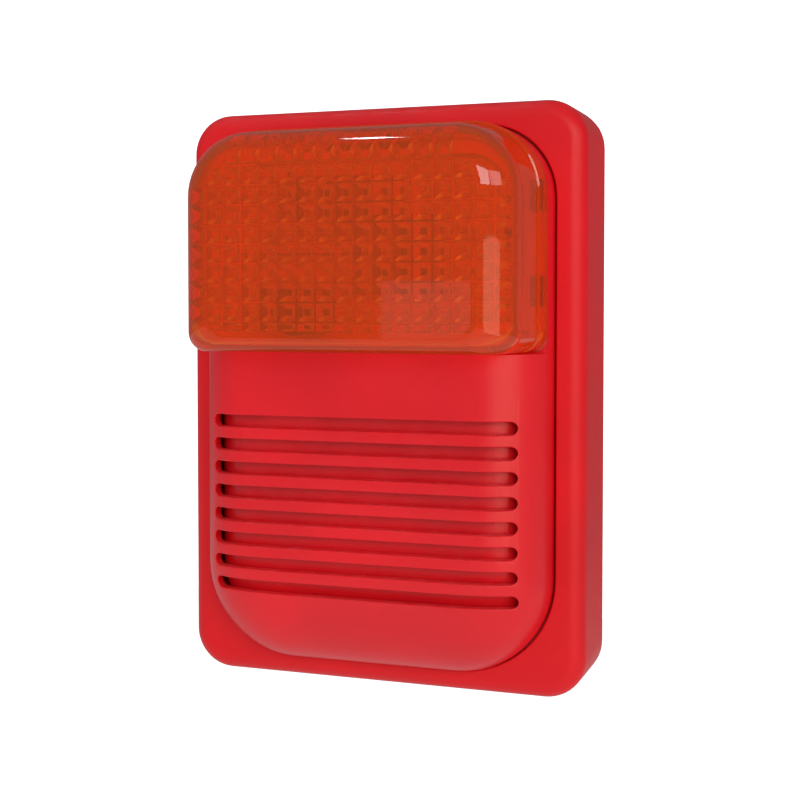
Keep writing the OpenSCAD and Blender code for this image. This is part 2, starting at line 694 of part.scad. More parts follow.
module siren_gasket() color([0.2, 0.2, 0.2]) stand() translate([0, siren_y, 0]) difference() {
    post(0, 0, disc_z + disc_t + 0.02, disc_z + disc_t + 0.58, disc_r);
    post(0, 0, disc_z, disc_z + disc_t + 1, disc_r - 2);
}

module brass_disc() color(brass) stand()
    post(0, siren_y, disc_z, disc_z + disc_t, disc_r);

module ceramic_disc() color([0.9, 0.88, 0.8]) stand()
    post(0, siren_y, disc_z - disc_t - 0.01, disc_z - 0.01, disc_r * 0.61);

module siren_ring() color([0.25, 0.25, 0.27]) stand() translate([0, siren_y, 0]) difference() {
    post(0, 0, capsule_back + 0.2, disc_z - 0.02, disc_r + 0.15);
    post(0, 0, capsule_back, disc_z + e, disc_r - 3);
}

module siren_screws() color(steel) stand() for (t = [-1, 1])
    pan_screw(0, siren_y + t * siren_ear, siren_ear_z - 0.02, 2.3, 1.5, 1.05, 6);

module siren_leads() color([0.75, 0.08, 0.08]) stand() for (s = [-1, 1]) {
    z = s > 0 ? disc_z - 0.03 : disc_z - disc_t - 0.04;
    x = s > 0 ? disc_r * 0.75 : disc_r * 0.4;
    lead([[s * x, siren_y, z], [s * x, siren_y, 17], [s * x, siren_y + 5, 17],
        [s * x, siren_y + 5, board_front + 0.02]], 0.5);
}

// ---------- main board ----------

module main_board() color(board_green) stand() difference() {
    // the lower corners are cut off, clear of the cover's ears
    reach = ear_x + ear_y - (ear_arm + gap) * sqrt(2);
    x0 = board_w / 2;
    x1 = reach + board_bottom;
    translate([0, 0, board_z]) linear_extrude(board_t) polygon([[-x0, board_top], [-x0, x0 - reach],
        [-x1, board_bottom], [x1, board_bottom], [x0, x0 - reach], [x0, board_top]]);
    // notch round the terminal block, where the board reaches it
    block([-term_w / 2 - 1, term_bottom - 1, board_z - e], [term_w / 2 + 1, term_top + 1, board_front + e]);
    for (s = [-1, 1], y = [board_hole_top, board_hole_bottom])
        post(s * board_hole_x, y, board_z - e, board_front + e, 1.3);
}

module board_screws() color(steel) stand() for (s = [-1, 1], y = [board_hole_top, board_hole_bottom])
    pan_screw(s * board_hole_x, y, board_z - 0.02, 2.3, 1.5, 1.05, 9);

module main_capacitor() color([0.1, 0.12, 0.3]) stand() {
    x = board_hole_x - 6.5;
    y = board_hole_top - 5;
    post(x, y, board_front + 0.02, board_front + 1.4, 4.5);
    post(x, y, board_front + 1.3, board_front + 2, 4.2);
    post(x, y, board_front + 1.9, board_front + 10, 4.5);
}

module drive_coil() color([0.2, 0.2, 0.2]) stand() {
    x = -board_hole_x + 7;
    y = board_hole_top - 5;
    post(x, y, board_front + 0.02, board_front + 1.5, 4.2);
    post(x, y, board_front + 1.4, board_front + 6.6, 3.4);
    post(x, y, board_front + 6.5, board_front + 8, 4.2);
}

module driver_chip() color(black) stand()
    translate([board_hole_x - 7, board_hole_bottom + 6, board_front]) {
        block([-4.9, -2.2, 0.3], [4.9, 2.2, 2]);
        for (i = [0 : 6], s = [-1, 1])
            translate([-3.81 + i * 1.27, s * 2.7, 0.52]) cube([0.45, 1.4, 1], center = true);
    }

dip_x = -board_hole_x + 12;
dip_y = board_hole_top - 15;
dip_pitch = 2.54;
dip_back = board_z - 3.4;
dip_slot_l = 3.2;
dip_travel = 1.8;

module dip_body() color([0.75, 0.1, 0.1]) stand() difference() {
    block([dip_x - 5.9, dip_y - 3.3, dip_back], [dip_x + 5.9, dip_y + 3.3, board_z - 0.02]);
    for (i = [0 : 3]) translate([dip_x + (i - 1.5) * dip_pitch, dip_y, dip_back])
        block([-0.7, -dip_slot_l / 2, -e], [0.7, dip_slot_l / 2, 1.5]);
}

module dip_slider(i) color([0.95, 0.95, 0.92]) stand()
    translate([dip_x + (i - 2.5) * dip_pitch, dip_y - dip_slot_l / 2 + 0.1, dip_back])
        block([-0.55, 0, -0.5], [0.55, dip_slot_l - dip_travel - 0.2, 1.35]);

trim_x = board_hole_x - 12;
trim_back = board_z - 3.2;

module trimmer_body() color([0.1, 0.2, 0.55]) stand() difference() {
    block([trim_x - 3.3, dip_y - 3.3, trim_back], [trim_x + 3.3, dip_y + 3.3, board_z - 0.02]);
    post(trim_x, dip_y, trim_back - e, trim_back + 1.6, 2.3);
}

module trimmer_rotor() color([0.95, 0.95, 0.92]) stand() difference() {
    post(trim_x, dip_y, trim_back - 0.2, trim_back + 1.5, 2.25);
    for (a = [0, 90]) translate([trim_x, dip_y, trim_back - 0.25]) rotate([0, 0, a])
        block([-1.6, -0.3, 0], [a > 0 ? 1.6 : 1, 0.3, 0.9]);
}

tamper_x = board_hole_x - 9;
tamper_y = board_hole_bottom + 12;

module tamper_body() color(black) stand() difference() {
    block([tamper_x - 3.1, tamper_y - 3.1, board_z - 4.5], [tamper_x + 3.1, tamper_y + 3.1, board_z - 0.02]);
    post(tamper_x, tamper_y, board_z - 4.6, board_z - 1.5, 1.65);
}

module tamper_plunger() color([0.95, 0.95, 0.92]) stand()
    post(tamper_x, tamper_y, plate_t + gap, board_z - 2.6, 1.6);

back_plate();
cable_grommet();
terminal_body();
terminal_contacts();
clamp_cage(1);  // clamp_cage_1
clamp_cage(2);  // clamp_cage_2
clamp_cage(3);  // clamp_cage_3
clamp_cage(4);  // clamp_cage_4
clamp_screw(1);  // clamp_screw_1
clamp_screw(2);  // clamp_screw_2
clamp_screw(3);  // clamp_screw_3
clamp_screw(4);  // clamp_screw_4
case_washer();
case_screw();
housing();
front_cover();
cover_screws();
sound_baffle();
lens();
lens_gasket();
strobe_tray();
strobe_board();
strobe_screws();
flash_tube();
tube_electrodes();
tube_reflector();
trigger_transformer();
flash_capacitor();
film_capacitor();
strobe_resistors();
strobe_leads();
siren_chamber();
siren_gasket();
brass_disc();
ceramic_disc();
siren_ring();
siren_screws();
siren_leads();
main_board();
board_screws();
main_capacitor();
drive_coil();
driver_chip();
dip_body();
dip_slider(1);  // dip_slider_1
dip_slider(2);  // dip_slider_2
dip_slider(3);  // dip_slider_3
dip_slider(4);  // dip_slider_4
trimmer_body();
trimmer_rotor();
tamper_body();
tamper_plunger();
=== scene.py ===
# %% [markdown]
# # A wall alarm siren with an amber strobe
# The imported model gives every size, place and joint. This lesson builds the pieces that are
# seen from outside as finished meshes around it, and paints the rest, piece by piece.

# %% Load the frame
import json
from math import cos, hypot, pi, radians, sin, sqrt, tan

import bmesh
import bpy
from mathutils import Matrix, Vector


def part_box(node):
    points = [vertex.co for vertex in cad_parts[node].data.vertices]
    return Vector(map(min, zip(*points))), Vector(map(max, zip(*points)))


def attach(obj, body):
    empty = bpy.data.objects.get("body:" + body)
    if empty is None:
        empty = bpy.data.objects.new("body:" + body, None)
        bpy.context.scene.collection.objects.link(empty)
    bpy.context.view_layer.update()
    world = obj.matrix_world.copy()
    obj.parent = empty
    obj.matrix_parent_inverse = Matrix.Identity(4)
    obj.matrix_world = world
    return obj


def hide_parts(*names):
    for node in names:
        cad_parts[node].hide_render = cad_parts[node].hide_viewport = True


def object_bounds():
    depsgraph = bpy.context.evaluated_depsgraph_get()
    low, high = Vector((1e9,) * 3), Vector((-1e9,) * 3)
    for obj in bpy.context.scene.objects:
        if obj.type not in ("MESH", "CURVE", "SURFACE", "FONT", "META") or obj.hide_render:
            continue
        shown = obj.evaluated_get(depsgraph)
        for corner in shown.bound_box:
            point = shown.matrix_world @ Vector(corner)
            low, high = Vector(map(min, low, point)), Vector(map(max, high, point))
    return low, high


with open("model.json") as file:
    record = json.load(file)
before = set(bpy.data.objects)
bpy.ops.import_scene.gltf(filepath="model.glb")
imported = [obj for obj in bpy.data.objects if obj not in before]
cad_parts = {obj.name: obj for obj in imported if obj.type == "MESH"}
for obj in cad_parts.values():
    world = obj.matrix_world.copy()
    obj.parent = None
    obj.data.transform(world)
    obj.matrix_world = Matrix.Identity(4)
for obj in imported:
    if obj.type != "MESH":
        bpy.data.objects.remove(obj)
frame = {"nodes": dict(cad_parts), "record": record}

cad_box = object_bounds()
nodes = frame["nodes"]

# %% [markdown]
# ## Drawing lying down, standing up later
# A wall unit is easiest to draw on its back, as it lies on a bench: x to the right, y up the
# wall and z out of the wall, in millimetres. One function stands each point up at the end,
# so that no piece has to think about the wall.

# %% Units and boxes
MM = 0.001


def upright(x, y, z):
    """A point drawn lying down, in millimetres, as a point on the wall, in metres."""
    return Vector((x * MM, -z * MM, y * MM))


def flat_box(node):
    """A CAD node's lowest and highest corner, lying down, in millimetres."""
    low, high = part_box(node)
    return (Vector((low.x, low.z, -high.y)) / MM, Vector((high.x, high.z, -low.y)) / MM)


for name in ("housing", "front_cover", "lens"):
    low, high = flat_box(name)
    print(name, [round(v, 1) for v in low], [round(v, 1) for v in high])

# %% [markdown]
# ## Outlines and lofts
# Moulded plastic has soft outlines that change slowly from level to level. Such a shell could
# be cut from a block and bevelled, but a loft is cleaner: every level is a ring with the same
# number of points, and quads join ring to ring. The edge flow then follows the form.

# %% Outlines
ARC = 12        # steps in a quarter of a circle


def quarter(cx, cy, r, start):
    """Quarter of a circle, counterclockwise from an angle in quarters of a turn."""
    turns = [(start + i / ARC) * pi / 2 for i in range(ARC + 1)]
    return [(cx + r * cos(a), cy + r * sin(a)) for a in turns]


def rounded(w, y0, y1, r_top, r_low):
    """Rectangle with round corners, the upper and the lower ones apart."""
    half = w / 2
    return (quarter(half - r_low, y0 + r_low, r_low, -1)
            + quarter(half - r_top, y1 - r_top, r_top, 0)
            + quarter(-half + r_top, y1 - r_top, r_top, 1)
            + quarter(-half + r_low, y0 + r_low, r_low, 2))


def circle(x, y, r, count=32):
    turns = [2 * pi * i / count for i in range(count)]
    return [(x + r * cos(a), y + r * sin(a)) for a in turns]


def at(points, z):
    """Lifts an outline to a level."""
    return [(x, y, z) for x, y in points]


print("a round-cornered outline has", len(rounded(10, 0, 10, 2, 2)), "points")


# %% Lofts, boxes and posts
def new_piece(name, verts, faces):
    """A mesh object from lying-down points."""
    mesh = bpy.data.meshes.new(name)
    mesh.from_pydata([upright(*p) for p in verts], [], faces)
    mesh.validate()
    piece = bpy.data.objects.new(name, mesh)
    bpy.context.scene.collection.objects.link(piece)
    return piece


def loft(name, rings, closed=False, mirror=None):
    """Quads from ring to ring, back to front; the ends are capped unless the last joins the first.

    A long end that isn't flat is capped with short quads from each point to its mirror point."""
    n = len(rings[0])
    last = len(rings) - 1
    levels = [(k, k + 1) for k in range(last)] + ([(last, 0)] if closed else [])
    faces = [(a * n + i, a * n + (i + 1) % n, b * n + (i + 1) % n, b * n + i)
             for a, b in levels for i in range(n)]
    if mirror is not None:
        quads = [(i % n, (i + 1) % n, (mirror - i - 1) % n, (mirror - i) % n)
                 for i in range(mirror // 2 - n // 2, mirror // 2)]
        rungs = [tuple(dict.fromkeys(quad)) for quad in quads]
        faces += [tuple(reversed(rung)) for rung in rungs]
        faces += [tuple(i + last * n for i in rung) for rung in rungs]
    elif not closed:
        faces += [tuple(reversed(range(n))), tuple(range(last * n, last * n + n))]
    return new_piece(name, [p for ring in rings for p in ring], faces)


def block(low, high):
    """A plain box, used only to cut or to add."""
    (x0, y0, z0), (x1, y1, z1) = low, high
    ring = [(x0, y0), (x1, y0), (x1, y1), (x0, y1)]
    return loft("block", [at(ring, z0), at(ring, z1)])


def post(x, y, z0, z1, r):
    return loft("post", [at(circle(x, y, r), z0), at(circle(x, y, r), z1)])


def rod(x0, x1, y, z, r):
    """A round bar along x."""
    return loft("rod", [[(x, b, c) for b, c in circle(y, z, r)] for x in (x0, x1)])


def bore_up(x, z, y0, y1, r):
    """A round bar along y."""
    return loft("bore", [[(b, y, a) for a, b in circle(z, x, r)] for y in (y0, y1)])


# %% [markdown]
# ## Cuts and soft shading
# Holes and bosses are added to a loft with exact booleans, all of one kind in a single pass.
# The modifier is applied at once, because later steps work on its result. Shading then splits
# at real edges only, and large faces lead the normals, so flat fronts stay flat beside fillets.

# %% Booleans
def apply_modifiers(piece):
    graph = bpy.context.evaluated_depsgraph_get()
    mesh = bpy.data.meshes.new_from_object(piece.evaluated_get(graph))
    old = piece.data
    piece.modifiers.clear()
    piece.data = mesh
    mesh.name = piece.name
    bpy.data.meshes.remove(old)
    return piece


def joined(name, pieces):
    """One mesh from several that don't touch."""
    bm = bmesh.new()
    for piece in pieces:
        bm.from_mesh(piece.data)
        bpy.data.objects.remove(piece)
    mesh = bpy.data.meshes.new(name)
    bm.to_mesh(mesh)
    bm.free()
    piece = bpy.data.objects.new(name, mesh)
    bpy.context.scene.collection.objects.link(piece)
    return piece


def combine(piece, others, how):
    """Adds the other pieces one by one, or cuts them all away at once; they are used up."""
    for tool in others if how == "UNION" else [joined("tools", others)]:
        modifier = piece.modifiers.new("combine", "BOOLEAN")
        modifier.operation = how
        modifier.solver = "EXACT"
        modifier.object = tool
        apply_modifiers(piece)
        bpy.data.objects.remove(tool)
    return piece


def soft_shading(piece, angle=32):
    """Smooth faces, sharp only where two of them meet steeply."""
    bm = bmesh.new()
    bm.from_mesh(piece.data)
    bmesh.ops.remove_doubles(bm, verts=bm.verts, dist=1e-6)
    for face in bm.faces:
        face.smooth = True
    for edge in bm.edges:
        edge.smooth = len(edge.link_faces) != 2 or edge.calc_face_angle(0) < radians(angle)
    bm.to_mesh(piece.data)
    bm.free()
    normals = piece.modifiers.new("normals", "WEIGHTED_NORMAL")
    normals.keep_sharp = True
    normals.weight = 60
    return piece


def stand_in(piece, body, slot, *replaced):
    """The piece moves with a body and stands for its CAD nodes."""
    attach(piece, body)
    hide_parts(*replaced)
    print(piece.name, len(piece.data.vertices), "points,", len(piece.data.polygons), "faces")
    return piece


# %% [markdown]
# ## The camera
# It stands a little to the right of the unit and looks very slightly down, from about two and
# a quarter times the unit's height. The frame is shifted instead of tilted, which keeps the
# unit's upright edges nearly parallel, as a product photographer does.

# %% Camera
UNIT_H = cad_box[1][2] - cad_box[0][2]
CAMERA_RIGHT = 0.037        # this and the next two in heights of the unit
CAMERA_UP = 0.0815
CAMERA_AWAY = 2.25
HOUSING_LOW, HOUSING_HIGH = flat_box("housing")
frame_middle = upright(0, 0, HOUSING_HIGH.z)
turn, tilt = radians(18.75), radians(1.96)
right = Vector((cos(turn), sin(turn), 0))
level = Vector((-sin(turn), cos(turn), 0))
look = level * cos(tilt) - Vector((0, 0, sin(tilt)))
upward = Vector((0, 0, cos(tilt))) + level * sin(tilt)

camera_data = bpy.data.cameras.new("camera")
camera_data.lens = 59
camera_data.sensor_width = 36
camera_data.shift_y = -0.0625
camera_data.clip_start = 0.01
camera = bpy.data.objects.new("camera", camera_data)
bpy.context.scene.collection.objects.link(camera)
camera.location = frame_middle + UNIT_H * (CAMERA_RIGHT * right + CAMERA_UP * upward - CAMERA_AWAY * look)
camera.rotation_euler = look.to_track_quat("-Z", "Y").to_euler()
bpy.context.scene.camera = camera
print("camera at", [round(v, 4) for v in camera.location])

# %% [markdown]
# ## The housing
# The housing is a tray with its open side to the wall. Its outside has a soft front edge, and
# its front is a narrow frame round the opening for the raised cover. The loft goes up the
# outside, over the edge, across the frame, down through the opening and back along the inside,
# so one closed skin makes the whole wall.

# %% Sizes of the housing
WALL = 2.2
CORNER_R = 9
EDGE_R = 3.5
FRONT = HOUSING_HIGH.z
HALF_H = HOUSING_HIGH.y
HOUSING_W = HOUSING_HIGH.x * 2
FLANGE = 2.2
COVER_LOW, COVER_HIGH = flat_box("front_cover")
COVER_W = (COVER_HIGH.x - FLANGE) * 2
COVER_Y0 = COVER_LOW.y + FLANGE
COVER_Y1 = COVER_HIGH.y - FLANGE
COVER_TOP_R = 15
COVER_LOW_R = 20
COVER_GAP = 0.4
INNER_FRONT = FRONT - WALL


def housing_ring(inset, z):
    r = max(CORNER_R - inset, 0.5)
    return at(rounded(HOUSING_W - 2 * inset, -HALF_H + inset, HALF_H - inset, r, r), z)


def opening_ring(grow, z):
    """The opening round the cover, grown by the given width."""
    g = COVER_GAP + grow
    edge = rounded(COVER_W + 2 * g, COVER_Y0 - g, COVER_Y1 + g, COVER_TOP_R + g, COVER_LOW_R + g)
    return at(edge, z)


print("opening", round(COVER_W, 1), "wide and", round(COVER_Y1 - COVER_Y0, 1), "high")


# %% Housing shell
DRAFT = 0.35
LIP_R = 0.35
BEAD = 1.5              # a fine bead with a groove beside it runs along the inner corner
BEAD_W = 0.7
steps = [radians(7.5 * i) for i in range(13)]
outside = [housing_ring(0.25, 0), housing_ring(0.07, 0.08), housing_ring(0, 0.3)]
outside += [housing_ring(DRAFT + EDGE_R * (1 - cos(a)), FRONT - EDGE_R + EDGE_R * sin(a))
            for a in steps]
mouth = [opening_ring(LIP_R * (1 - sin(a)), FRONT - LIP_R * (1 - cos(a))) for a in steps[::3]]
inside = [opening_ring(0, INNER_FRONT), housing_ring(WALL + BEAD, INNER_FRONT)]
inside += [housing_ring(WALL + BEAD_W * sin(a), INNER_FRONT - BEAD + BEAD * cos(a))
           for a in (steps[8], steps[4], steps[0])]
inside += [housing_ring(WALL, 0.3), housing_ring(WALL - 0.2, 0)]
housing = loft("housing_shell", outside + mouth + inside, closed=True)
print("housing shell", len(housing.data.polygons), "quads")

# %% [markdown]
# Ribs, bosses and the pocket for the case screw are plain solids added to the shell.

# %% Ribs, bosses and pocket
HINGE_Y = HALF_H - 6
HINGE_Z = 6
HINGE_R = 3
EAR_X = HOUSING_HIGH.x - 8.2
EAR_Y = HALF_H - 7.5
EAR_FRONT = 14          # the cover's ears end here, and the housing's bosses begin
RIB_T = 2.4
RIB_XS = (26, -28.4)
POCKET_TOP = -56.9
CORNERS = [(s * EAR_X, t * EAR_Y) for s in (-1, 1) for t in (-1, 1)]
ribs = []
for x in RIB_XS:
    ribs.append(rod(x, x + RIB_T, HINGE_Y, HINGE_Z, HINGE_R))
    ribs.append(block((x, HINGE_Y - HINGE_R, HINGE_Z), (x + RIB_T, HALF_H - WALL + 0.1, 15.3)))
bosses = [post(x, y, EAR_FRONT, INNER_FRONT + 0.1, 3) for x, y in CORNERS]
pocket = block((-6, -HALF_H + WALL - 0.1, 0), (6, POCKET_TOP, 12))
combine(housing, ribs + bosses + [pocket], "UNION")
print(len(ribs), "parts of ribs,", len(bosses), "bosses and a pocket added")

# %% [markdown]
# The openings are cut one after the other: the wedge and the relief that let the housing swing
# on its hinge, the screw holes in the bosses, the hinge holes and the case screw's way in.

# %% Housing openings
SWING = radians(25)
WEDGE_DEPTH = 9
HEAD_R = 3.6            # room for the case screw's head, and below for its shank
HEAD_TOP = -59.6
SHANK_R = 1.75
wedge_z = HINGE_Z - (HINGE_Z - 0.2) / cos(SWING)
wedge_side = [(0, -1), (WEDGE_DEPTH, -1), (WEDGE_DEPTH, wedge_z + WEDGE_DEPTH * tan(SWING)), (0, wedge_z)]
wedge = loft("wedge", [[(x, HINGE_Y + a, b) for a, b in wedge_side] for x in (-46, 46)])
relief = block((-33, HALF_H - WALL - 0.05, -1), (33, HALF_H + 1, 4))
hinge_holes = [rod(x - 1, x + RIB_T + 1, HINGE_Y, HINGE_Z, 1.55) for x in RIB_XS]
for cutter in (wedge, relief, joined("ear_holes", [post(x, y, 10, FRONT - 1, 1.1) for x, y in CORNERS]),
               *hinge_holes,
               bore_up(0, HINGE_Z, -HALF_H - 1, HEAD_TOP, HEAD_R),
               block((-HEAD_R, -HALF_H - 1, -1), (HEAD_R, HEAD_TOP, HINGE_Z)),
               bore_up(0, HINGE_Z, -60, -56, SHANK_R),
               block((-SHANK_R, -60, -1), (SHANK_R, -56, HINGE_Z))):
    combine(housing, [cutter], "DIFFERENCE")
housing.name = "housing_shell"
stand_in(soft_shading(housing), "front", "red_housing", "housing")

# %% [markdown]
# ## The raised cover
# The cover swells out of the housing in one soft roll, and its lower end rolls much longer
# than its sides. Each level of the loft belongs to one angle of the roll. The same function
# with an inset gives the inside of the wall and the grid behind the louvres.

# %% The cover's form
ROLL = 13
LOW_ROLL = 24
COVER_FRONT = COVER_HIGH.z
FLANGE_BACK = INNER_FRONT - 0.2 - 2


def cover_levels(inset, turned):
    """Width, lower and upper end, corner radii and depth of the cover at an angle of its roll."""
    lean = 1 - cos(turned)
    side = inset + (ROLL - inset) * lean
    low = inset + (LOW_ROLL - inset) * lean
    depth = COVER_FRONT - ROLL + (ROLL - inset) * sin(turned)
    r_top = max(COVER_TOP_R - side, 0.6)
    return COVER_W - 2 * side, COVER_Y0 + low, COVER_Y1 - side, r_top, COVER_LOW_R - side, depth


def cover_form(inset, back):
    """The cover as a solid, from a level behind its roll to its flat front."""
    rings = [cover_levels(inset, radians(5 * i)) for i in range(19)]
    first = at(rounded(*rings[0][:5]), back)
    return loft("form", [first] + [at(rounded(*ring[:5]), ring[5]) for ring in rings])


def outside_by(x, y, w, y0, y1, r_top, r_low):
    """How far a point lies outside a rounded outline; negative inside."""
    across = abs(x) - w / 2
    gaps = []
    for end, r in ((y - y1, r_top), (y0 - y, r_low)):
        a, b = across + r, end + r
        gaps.append(hypot(a, b) - r if a > 0 and b > 0 else max(a, b) - r)
    return max(gaps)


def cover_depth(x, y, inset=0):
    """Depth of the cover's surface over a point, found by halving the angle of the roll."""
    low, high = 0.0, pi / 2
    if outside_by(x, y, *cover_levels(inset, high)[:5]) < 0:
        return COVER_FRONT - inset
    for _ in range(24):
        middle = (low + high) / 2
        if outside_by(x, y, *cover_levels(inset, middle)[:5]) < 0:
            low = middle
        else:
            high = middle
    return cover_levels(inset, low)[5]


print("cover is", round(cover_depth(0, -45), 2), "mm deep near its lower end")

# %% Cover wall, flange and seat of the lens
LENS_LOW, LENS_HIGH = flat_box("lens")
LEDGE = FRONT + 5
STEP_Y = LENS_LOW.y - 0.3
COVER_WALL = 2
FAR = 60                # past the unit in every direction but up
cover = cover_form(0, FLANGE_BACK)
flange_edge = rounded(COVER_W + 2 * FLANGE, COVER_Y0 - FLANGE, COVER_Y1 + FLANGE,
                      COVER_TOP_R + FLANGE, COVER_LOW_R + FLANGE)
flange = loft("flange", [at(flange_edge, FLANGE_BACK), at(flange_edge, FLANGE_BACK + COVER_WALL)])
combine(cover, [flange], "UNION")
hollow = cover_form(COVER_WALL, FLANGE_BACK - 0.5)
under_seat = block((-FAR, STEP_Y - COVER_WALL, LEDGE - COVER_WALL), (FAR, 70, FAR))
combine(hollow, [under_seat], "DIFFERENCE")
combine(cover, [hollow], "DIFFERENCE")
combine(cover, [block((-FAR, STEP_Y, LEDGE), (FAR, 70, FAR))], "DIFFERENCE")


def soften(piece, chosen, width, segments=3):
    """Rounds the steep edges that a rule picks."""
    bm = bmesh.new()
    bm.from_mesh(piece.data)
    edges = []
    for edge in bm.edges:
        if len(edge.link_faces) == 2 and edge.calc_face_angle(0) > radians(40):
            a, b = ((v.co.x / MM, v.co.z / MM, -v.co.y / MM) for v in edge.verts)
            if chosen(a) and chosen(b):
                edges.append(edge)
    bmesh.ops.bevel(bm, geom=edges, offset=width * MM, segments=segments, profile=0.5,
                    affect="EDGES", clamp_overlap=True)
    bm.to_mesh(piece.data)
    bm.free()
    print(len(edges), "edges rounded")


soften(cover, lambda p: abs(p[1] - STEP_Y) < 0.01 and p[2] > LEDGE + 0.5, 0.5)

# %% [markdown]
# The louvres are eight long round-ended slots. Their lips are rounded, and that soft lip
# catches a thin line of light along every slat, so the cutter is a loft that follows the
# cover's surface and flares as it comes out of it.

# %% Louvres and holes
SLOTS = [-4.7 - 5 * i for i in range(8)]
SLOT_W = 66.6
SLOT_H = 2.6
LIP = 0.35
MIRROR_SUM = 104        # two outline points across the slot from each other add up to this


def stadium(y, length, height, count=40):
    """Round-ended slot outline, its straight sides in many steps."""
    half, r = (length - height) / 2, height / 2
    low = [(-half + 2 * half * i / count, y - r) for i in range(count)]
    lower_half = low + quarter(half, y, r, -1) + quarter(half, y, r, 0)[1:-1]
    return lower_half + [(-px, 2 * y - py) for px, py in lower_half]


def slot_cutter(y):
    """One slot, from behind the cover's wall, round the lip and out in front of it."""
    lip = [(LIP * (1 - cos(radians(a))), -LIP * (1 - sin(radians(a)))) for a in (20, 40, 60, 76)]
    rings = []
    for grow, lift in [(0, -4.5), (0, -LIP)] + lip + [(LIP * 1.05, 1.2)]:
        outline = stadium(y, SLOT_W + 2 * grow, SLOT_H + 2 * grow)
        rings.append([(px, py, cover_depth(px, py) + lift) for px, py in outline])
    return loft("slot", rings, mirror=MIRROR_SUM)


combine(cover, [slot_cutter(y) for y in SLOTS], "DIFFERENCE")
print(len(cover.data.polygons), "faces with the louvres cut")

# %% Window and tab holes under the lens
TAB_X = 33.9
TAB_T = 1.4
TAB_W = 6
TAB_MID = TAB_X + TAB_T / 2
TAB_YS = [(LENS_LOW.y + LENS_HIGH.y) / 2 + rise for rise in (-11, 8)]
window = rounded(63.8, LENS_LOW.y + 5, LENS_HIGH.y - 5.6, 10, 10)
combine(cover, [loft("window", [at(window, LEDGE - 3), at(window, LEDGE + 1)])], "DIFFERENCE")
tab_holes = [block((s * TAB_MID - 0.9, y - 3.2, LEDGE - 3), (s * TAB_MID + 0.9, y + 3.2, LEDGE + 1))
             for s in (-1, 1) for y in TAB_YS]
combine(cover, tab_holes, "DIFFERENCE")
print(len(TAB_YS) * 2, "tab holes beside the window")

# %% Screw stalks of the cover
SIREN_Y = -22.2
BOARD_POSTS = [(s * 27.5, y) for s in (-1, 1) for y in (3.5, -49.5)]
SIREN_POSTS = [(0, SIREN_Y - 26.8), (0, SIREN_Y + 26.8)]
keep = cover_form(1, FLANGE_BACK - 4)
stalks = [post(x, y, 14.62, 35, 3) for x, y in BOARD_POSTS]
stalks += [post(x, y, 24.02, 35, 3) for x, y in SIREN_POSTS]
for stalk in stalks:
    modifier = stalk.modifiers.new("keep", "BOOLEAN")
    modifier.operation = "INTERSECT"
    modifier.solver = "EXACT"
    modifier.object = keep
    apply_modifiers(stalk)
bpy.data.objects.remove(keep)
combine(cover, stalks, "UNION")
print(len(stalks), "stalks behind the cover")

# %% [markdown]
# Four ears reach out to the housing's bosses, each a flat arm with a round end and a short
# upright that ties it to the flange. They run towards the unit's middle at 45 degrees.

# %% Ears and screw holes of the cover
EAR_BACK = 12
EAR_ARM = 7


def ear(x, y):
    """The arm, its upright and its round end."""
    along = Vector((-1 if x > 0 else 1, -1 if y > 0 else 1)) / sqrt(2)
    across = Vector((-along.y, along.x)) * 2.5
    corner = Vector((x, y))
    solids = []
    for begin, front in ((0, EAR_FRONT), (3.3, FLANGE_BACK + 0.05)):
        a, b = corner + along * begin, corner + along * EAR_ARM
        ring = [tuple(a - across), tuple(b - across), tuple(b + across), tuple(a + across)]
        solids.append(loft("ear", [at(ring, EAR_BACK), at(ring, front)]))
    return solids + [post(x, y, EAR_BACK, EAR_FRONT, 3)]


combine(cover, [solid for x, y in CORNERS for solid in ear(x, y)], "UNION")
for spots, back, front, r in ((CORNERS, EAR_FRONT, FLANGE_BACK + 3, 3.3), (CORNERS, 11, 14.5, 1.3),
                              (BOARD_POSTS, 14, 23.5, 1.1), (SIREN_POSTS, 23, 29, 1.1)):
    combine(cover, [post(x, y, back, front, r) for x, y in spots], "DIFFERENCE")
cover.name = "raised_cover"
stand_in(soft_shading(cover), "front", "red_cover", "front_cover")

# %% [markdown]
# ## The grid behind the louvres
# Behind every slot runs a bar of the same red, so no one can poke through to the siren. The
# bars follow the cover's curve at a small distance, and narrow gaps between them let the
# sound out.

# %% Grid
grid = cover_form(3.1, 20)
combine(grid, [cover_form(4.5, 19.5)], "DIFFERENCE")
for low, high in (((-FAR, SLOTS[0] + 2.4, 0), (FAR, 90, FAR)),
                  ((-FAR, -90, 0), (FAR, SLOTS[-1] - 2.4, FAR)),
                  ((-FAR, -90, 0), (FAR, 90, COVER_FRONT - 7.5))):
    combine(grid, [block(low, high)], "DIFFERENCE")
gaps = []
for y in SLOTS[:-1]:
    gap = stadium(y - 2.5, SLOT_W - 5, 1.6)
    gaps.append(loft("gap", [at(gap, 20), at(gap, 40)]))
combine(grid, gaps, "DIFFERENCE")
rail_y = SLOTS[0] + 1.2
rail = block((-22, rail_y, COVER_FRONT - 4.6), (22, rail_y + 1.2, COVER_FRONT - 2.05))
combine(grid, [rail], "UNION")
grid.name = "louvre_grid"
stand_in(soft_shading(grid), "front", "red_cover", "sound_baffle")

# %% [markdown]
# ## The amber lens
# The lens is a clear cap with a thin rim, a slight draft and a large round edge. Inside its
# front stand rows of small pyramids with flat tops, which break up the flash. Wall and
# pyramids are real geometry, because refraction through them makes the pattern that is seen.

